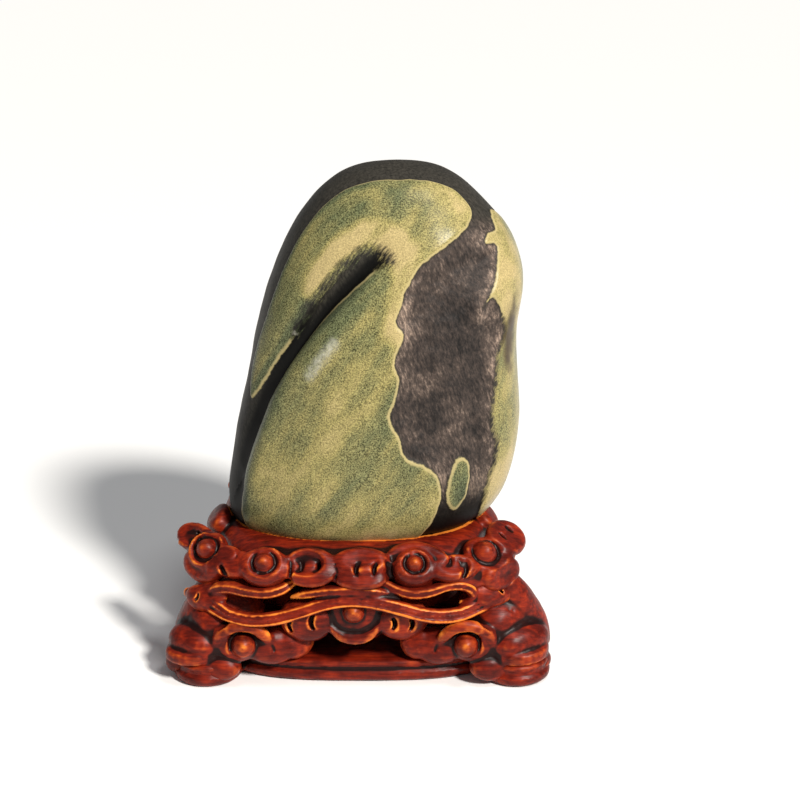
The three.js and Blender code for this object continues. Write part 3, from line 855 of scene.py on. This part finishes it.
def nearest_on(places, line):
    """Each place's distance to a line of points, negative on the line's right, and how far along it is."""
    starts, spans = line[:-1], np.diff(line, axis=0)
    lengths = np.maximum((spans**2).sum(1), 1e-12)
    distance, along = np.empty(len(places)), np.empty(len(places))
    for first in range(0, len(places), 6000):
        part = places[first:first + 6000, None, :] - starts[None]
        share = np.clip((part * spans).sum(2) / lengths, 0, 1)
        gap = np.linalg.norm(part - share[..., None] * spans, axis=2)
        best = gap.argmin(1)
        rows = np.arange(len(best))
        side = spans[best, 0] * part[rows, best, 1] - spans[best, 1] * part[rows, best, 0]
        distance[first:first + 6000] = gap[rows, best] * np.where(side < 0, -1, 1)
        along[first:first + 6000] = (best + share[rows, best]) / len(spans)
    return distance, along


def inside_by(places, corners):
    """How far each place is inside a smooth closed outline; less than nothing outside it."""
    loop = smooth_line(corners, 8, closed=True)
    closed = np.vstack([loop, loop[:1]])
    distance = np.abs(nearest_on(places, closed)[0])
    crossings = np.zeros(len(places), bool)
    for (x1, y1), (x2, y2) in zip(closed[:-1], closed[1:]):
        if y1 != y2:
            level = (y1 > places[:, 1]) != (y2 > places[:, 1])
            crossings ^= level & (places[:, 0] < (x2 - x1) * (places[:, 1] - y1) / (y2 - y1) + x1)
    return np.where(crossings, distance, -distance)


def near_line(places, corners, far, close):
    """From 1 beside a smooth line to 0 away from it."""
    return ramp(np.abs(nearest_on(places, smooth_line(corners, 6))[0]), far, close)


def laid_out(points, facing):
    """Points of the stone as [across, up] round its front (facing 1) or its back (-1), in millimetres."""
    q = (points - STONE_MIDDLE) / STONE_REACH
    q /= np.linalg.norm(q, axis=1)[:, None]
    angle = np.arccos(np.clip(-q[:, 1] * facing, -1, 1))
    across = np.maximum(np.hypot(q[:, 0], q[:, 2]), 1e-9)
    return 100 * (angle / across)[:, None] * np.stack([q[:, 0] * facing, q[:, 2]], 1)


def rounded(cage):
    """A cage's mesh rounded by three subdivisions that still pass through the cage's own points."""
    wanted = points_of(cage)
    for _ in range(3):
        trial = new_piece("trial", cage.copy())
        rounding = trial.modifiers.new("rounding", "SUBSURF")
        rounding.levels = rounding.render_levels = 3
        reached = applied(trial)
        bpy.data.objects.remove(trial)
        move_points(cage, points_of(cage) + wanted - points_of(reached)[:len(wanted)])
    return reached


stone = new_piece("river_stone", rounded(merged_copy("stone")))
mesh = fused(stone, STONE_STEP)
points = softened(mesh, points_of(mesh), 3)
move_points(mesh, points)

front, back = laid_out(points, 1), laid_out(points, -1)
right, up = front.T
on_front = points[:, 1] < 0
hook, slab, strip, eye = (inside_by(front, outline) for outline in (HOOK, SLAB, STRIP, EYE))
lens, vein = (inside_by(back, outline) for outline in (BACK_LENS, BACK_VEIN))
green = np.max([hook, slab, strip, eye, lens, vein], axis=0) + 0.7 * waves(points, 8)

# The groove between hook and slab, and the broken hollow between them and the strip.
gap, along = nearest_on(front, smooth_line(GROOVE_LINE, 8))
depths = np.interp(along * (len(GROOVE_DEPTH) - 1), range(len(GROOVE_DEPTH)), GROOVE_DEPTH)
groove = depths * np.exp(-(gap / np.where(gap > 0, GROOVE_STEEP, GROOVE_GENTLE)) ** 2)
shoulder = SHOULDER[0] * np.exp(-((gap - SHOULDER[1]) / SHOULDER[2]) ** 2) * ramp(along, 0.1, 0.4)
hollow = ramp(np.maximum(hook, slab), 0, -16) * ramp(strip, 0, -16)
hollow *= ramp(right, 0, 30) * ramp(up, -62, -30) * ramp(up, 100, 60)
rough = ramp(green, 1, -2) * ramp(right, 4, 14) * ramp(up, -74, -50) * ramp(up, 100, 76)
rough *= on_front * ramp(right, 140, 110)

rise = LENS_RISE * (ramp(green, -2.0, 2.4) - 0.3) + CROWN_RISE * ramp(points[:, 2], 310, 336)
rise += ramp(points[:, 1], 20, -15) * (shoulder - groove - HOLLOW_DEPTH * hollow)
rise += sum(height * waves(points, size, seed) for height, size, seed in SWELLS)
rise += rough * sum(height * waves(points, size, seed) for height, size, seed in BREAKS)
points += normals_of(mesh) * rise[:, None]
points[:, 2] = np.maximum(points[:, 2], STONE_FOOT)
move_points(mesh, points)
mesh.shade_smooth()

# Where the marks lie, and the painted shade and painted highlight, which the material reads.
brushed = near_line(front, BRUSHED_LINE, 15, 4) * on_front * ramp(hook, -16, -8)
fading = near_line(front, FADING_LINE, 12, 3) * on_front
tone = 0.54 - 0.34 * ramp(np.maximum(slab, hook), 9, 3) * ramp(right, 16, -8) * on_front
tone += 0.14 * ramp(strip, -4, 4)
for (across, height), reach, paler in PALE_PATCHES:
    tone += paler * np.exp(-((front - (across, height)) ** 2).sum(1) / reach**2) * on_front
tone += 0.42 * near_line(front, TAN_LINE, 15, 5) * on_front
darker, distance, width = DARK_BAND
tone -= darker * np.exp(-((gap - distance) / width) ** 2) * ramp(along, 0.1, 0.35) * on_front
fleck = ramp(strip, -13, 0) + 0.8 * ramp(slab, -12, -1) * ramp(up, -15, 5)
fleck += 0.9 * ramp(up, -36, -52) * ramp(green, -20, -4)
# Painted shade: near black deep in the groove, and darker towards the foot and on the lower left.
in_groove = ramp(np.abs(gap), 14, 8) * np.maximum(ramp(gap, -9, -2), ramp(along, 0.3, 0.5))
shade = (1 - 0.93 * in_groove * ramp(along, 0.02, 0.1) * on_front) * ramp(points[:, 2], 95, 160)
shade *= 1 - 0.5 * ramp(points[:, 0], -45, -80) * ramp(points[:, 2], 240, 140)
# The pale chip, and a painted highlight along the slab's raised edge.
shine = 0.7 * near_line(front, PAINTED_HIGHLIGHT_LINE, 7, 0) ** 1.5
shine += 0.8 * ramp(np.hypot(*(front - CHIP).T), 1.6, 0.8)
stain = ramp(np.hypot(*((front - WAIST_STAIN) / [1, 1.9]).T) - 5 * waves(points, 6), 17, 4)
for name, values in [
    ("green", green), ("rough", rough), ("brushed", np.clip(brushed + 0.3 * fading, 0, 1)),
    ("fleck", rough * np.clip(fleck, 0, 1)), ("tone", tone), ("shade", shade), ("shine", shine * on_front),
    ("stain", 0.95 * stain * on_front),
]:
    keep_attribute(mesh, name, values)


def waxed_cobble():
    """A water-worn, waxed cobble: grainy olive lenses with pale rims in smooth black, and a brown hollow."""
    material, tree, surface = new_material("waxed_river_cobble")
    place = add(tree, "TexCoord", output="Object")
    green, rough, brushed, fleck, tone, shade, shine, stain = (
        add(tree, "Attribute", {"attribute_name": name}, output="Fac")
        for name in ("green", "rough", "brushed", "fleck", "tone", "shade", "shine", "stain"))

    # Long marks lean to the right, as the bed of the rock does, and scratches in the hollow to the left.
    leaning, scratched = (add(tree, "Mapping", {
        "vector_type": "TEXTURE", "Rotation": (0, math.radians(-turn), 0), "Scale": (stretch, 1, 1),
    }, {"Vector": place}) for turn, stretch in ((55, 6), (108, 3)))
    bristles = add(tree, "TexNoise", {"Scale": 620, "Detail": 3, "Roughness": 0.6}, {"Vector": leaning})
    streaks = add(tree, "TexNoise", {"Scale": 70, "Detail": 3, "Roughness": 0.5}, {"Vector": leaning})
    clouds = add(tree, "TexNoise", {"Scale": 38, "Detail": 4, "Roughness": 0.55}, {"Vector": place})
    # Grains are about a millimetre across.
    grain = add(tree, "TexNoise", {"Scale": 1150, "Detail": 1, "Roughness": 0.5}, {"Vector": place})
    ragged = add(tree, "TexNoise", {"Scale": 330, "Detail": 3, "Roughness": 0.65}, {"Vector": place})

    # The edge of the green: broken by single grains, and drawn into long bristles where it was brushed.
    shake = add(tree, "Math", {"operation": "MULTIPLY_ADD", 1: 1.8, 2: -0.9}, {0: ragged})
    pull = add(tree, "Math", {"operation": "MULTIPLY_ADD", 1: 30, 2: -15}, {0: bristles})
    pulled = add(tree, "Math", {"operation": "MULTIPLY"}, {0: pull, 1: brushed})
    broken = add(tree, "Math", {"operation": "ADD"}, {0: green, 1: shake})
    edge = add(tree, "Math", {"operation": "ADD"}, {0: broken, 1: pulled})
    softness = add(tree, "Math", {"operation": "MULTIPLY_ADD", 1: 8.0, 2: 0.45}, {0: brushed})
    is_green = add(tree, "MapRange", {"From Min": -0.3}, {"Value": edge, "From Max": softness})
    inward = add(tree, "MapRange", {"From Min": -0.5, "From Max": 12}, {"Value": edge})
    rim = add(tree, "ValToRGB", {"stops": [
        (0.0, 0.0), (0.05, 0.95), (0.13, 0.8), (0.21, 0.0),
    ]}, {"Fac": inward})
    unbrushed = add(tree, "Math", {"operation": "MULTIPLY_ADD", 1: -0.9, 2: 0.9}, {0: brushed})
    is_rim = add(tree, "Math", {"operation": "MULTIPLY"}, {0: rim, 1: unbrushed})

    # Green rock: olive clouds, long yellow streaks, and dark and pale grains.
    drifting = add(tree, "Math", {"operation": "MULTIPLY_ADD", 1: 0.6, 2: -0.3}, {0: clouds})
    streaky = add(tree, "Math", {"operation": "MULTIPLY_ADD", 1: 1.1, 2: -0.55}, {0: streaks})
    figured = add(tree, "Math", {"operation": "ADD"}, {0: drifting, 1: streaky})
    mixed = add(tree, "Math", {"operation": "ADD"}, {0: figured, 1: tone})
    olive = add(tree, "ValToRGB", {"stops": [
        (0.05, "434935"), (0.32, "5d6143"), (0.52, "75724b"),
        (0.72, "918755"), (0.86, "a29462"), (1.0, "b09e6e"),
    ]}, {"Fac": mixed})
    speckle = add(tree, "ValToRGB", {"stops": [
        (0.32, 0.2), (0.44, 0.75), (0.54, 1.1), (0.68, 1.8),
    ]}, {"Fac": grain})
    plainer = {"From Min": 0.5, "From Max": 1.0, "To Min": 0.95, "To Max": 0.35}
    salting = add(tree, "MapRange", plainer, {"Value": mixed})
    multiplied = {"data_type": "RGBA", "blend_type": "MULTIPLY"}
    salted = add(tree, "Mix", multiplied, {0: salting, 6: olive, 7: speckle}, output=2)
    rimmed = add(tree, "Mix", {"data_type": "RGBA", 7: linear("b7a775")}, {0: is_rim, 6: salted}, output=2)
    stained = add(tree, "Mix", {"data_type": "RGBA", 7: linear("3d2e1f")}, {0: stain, 6: rimmed}, output=2)

    # Black rock, smooth and waxed; brown, scratched and flecked with pink where it is rough.
    flecks = add(tree, "TexNoise", {"Scale": 620, "Detail": 4, "Roughness": 0.75}, {"Vector": scratched})
    patches = add(tree, "TexNoise", {"Scale": 45, "Detail": 5, "Roughness": 0.65}, {"Vector": place})
    patchy = add(tree, "Math", {"operation": "MULTIPLY", 1: 0.5}, {0: patches})
    scattered = add(tree, "Math", {"operation": "MULTIPLY_ADD", 1: 0.5}, {0: flecks, 2: patchy})
    gathered = add(tree, "Math", {"operation": "MULTIPLY", 1: 0.11}, {0: fleck})
    browns = add(tree, "Math", {"operation": "ADD"}, {0: scattered, 1: gathered})
    brown = add(tree, "ValToRGB", {"stops": [
        (0.38, "1c1a19"), (0.47, "332d2a"), (0.55, "493f39"), (0.62, "6f6056"), (0.71, "b49c88"),
    ]}, {"Fac": browns})
    black = add(tree, "ValToRGB", {"stops": [(0.35, "1f1e1a"), (0.7, "45413a")]}, {"Fac": flecks})
    dark = add(tree, "Mix", {"data_type": "RGBA"}, {0: rough, 6: black, 7: brown}, output=2)
    # Painted shade darkens it towards black.
    shaded = add(tree, "Mix", {"data_type": "RGBA", 6: linear("040403")}, {0: shade, 7: dark}, output=2)
    bare = add(tree, "Mix", {"data_type": "RGBA"}, {0: is_green, 6: shaded, 7: stained}, output=2)

    # A chip, and a painted highlight along the slab's raised edge, broken up like the grain, both pale.
    broken_up = add(tree, "MapRange", {"From Min": 0.25, "From Max": 0.7}, {"Value": ragged})
    rubbed = add(tree, "Math", {"operation": "MULTIPLY"}, {0: shine, 1: broken_up})
    colour = add(tree, "Mix", {"data_type": "RGBA", 7: linear("cbc8b8")}, {0: rubbed, 6: bare}, output=2)
    tree.links.new(colour, surface.inputs["Base Color"])

    gloss = add(tree, "Mix", {"data_type": "FLOAT", 2: 0.55, 3: 0.3}, {0: is_green})
    matt = add(tree, "Mix", {"data_type": "FLOAT", 3: 0.5}, {0: rough, 2: gloss})
    tree.links.new(matt, surface.inputs["Roughness"])
    surface.inputs["Specular IOR Level"].default_value = 0.14

    pits = add(tree, "TexNoise", {"Scale": 150, "Detail": 6, "Roughness": 0.75}, {"Vector": scratched})
    deep = add(tree, "Mix", {"data_type": "FLOAT", 2: 0.10, 3: 0.8}, {0: rough})
    relief = add(tree, "Bump", {"Distance": 0.0014}, {"Height": pits, "Strength": deep})
    tree.links.new(relief, surface.inputs["Normal"])
    return material


mesh.materials.clear()
mesh.materials.append(waxed_cobble())
handed_over(stone, "stone")
